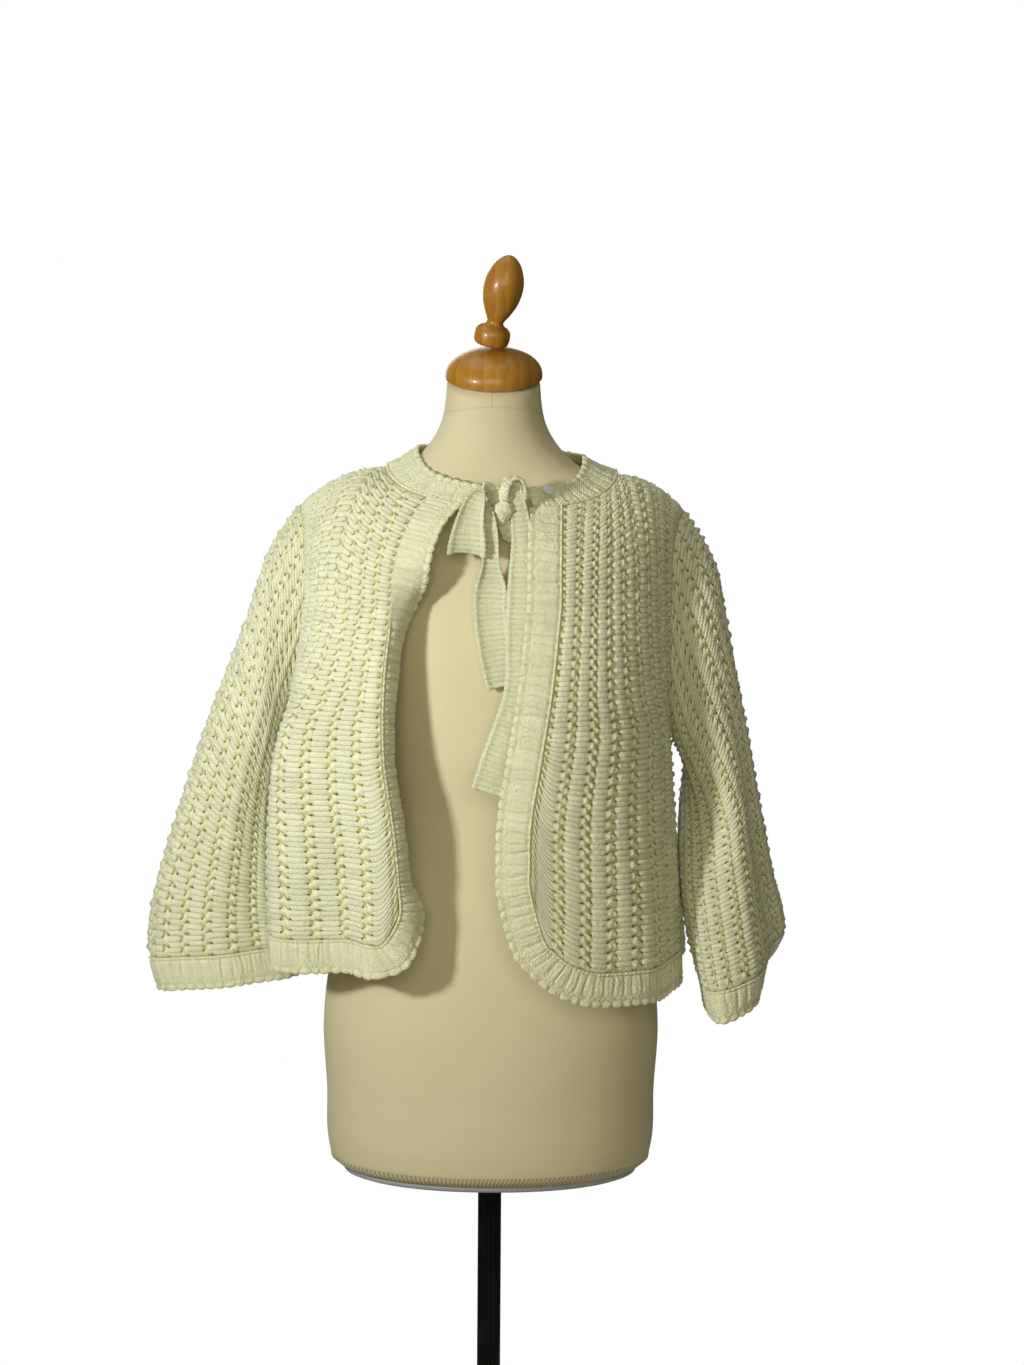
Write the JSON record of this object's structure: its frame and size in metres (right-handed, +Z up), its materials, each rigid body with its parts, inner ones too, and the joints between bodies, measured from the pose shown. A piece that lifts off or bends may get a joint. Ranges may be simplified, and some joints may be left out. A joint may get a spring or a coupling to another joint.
{
  "type": "crochet cardigan on a limbless dress form",
  "caption": "Open crochet cardigan with wide three-quarter sleeves and a tied neck, worn on a limbless dress form with a wooden neck cap and a pole stand.",
  "frame": {"origin": "on the floor, at the middle of the base's underside, on the pole's axis", "axes": "+Z up along the pole, the front of the cardigan faces -Y, the wearer's left is at +X"},
  "size_m": [0.6791, 0.38, 1.6659],
  "materials": {
    "knit": "pale lemon wool in crochet ribs, matt and a little fuzzy",
    "pearl": "pearly, smooth",
    "jersey": "cream jersey, fine and matt",
    "underside": "grey, matt",
    "wood": "turned, stained amber and varnished",
    "black_metal": "black, semi-gloss"
  },
  "bodies": {
    "root": {"back": "knit", "front_left": "knit", "front_right": "knit", "sleeve_left": "knit", "sleeve_right": "knit", "cuff_left": "knit", "cuff_right": "knit", "neckband": "knit", "edging": "knit", "tie_knot": "knit", "tie_loop_left": "knit", "tie_loop_right": "knit", "tie_tail_left": "knit", "tie_tail_right": "knit", "button": "pearl", "form_torso": "jersey", "form_underside": "underside", "neck_cap": "wood", "finial": "wood", "pole": "black_metal", "base": "black_metal"}
  },
  "joints": []
}
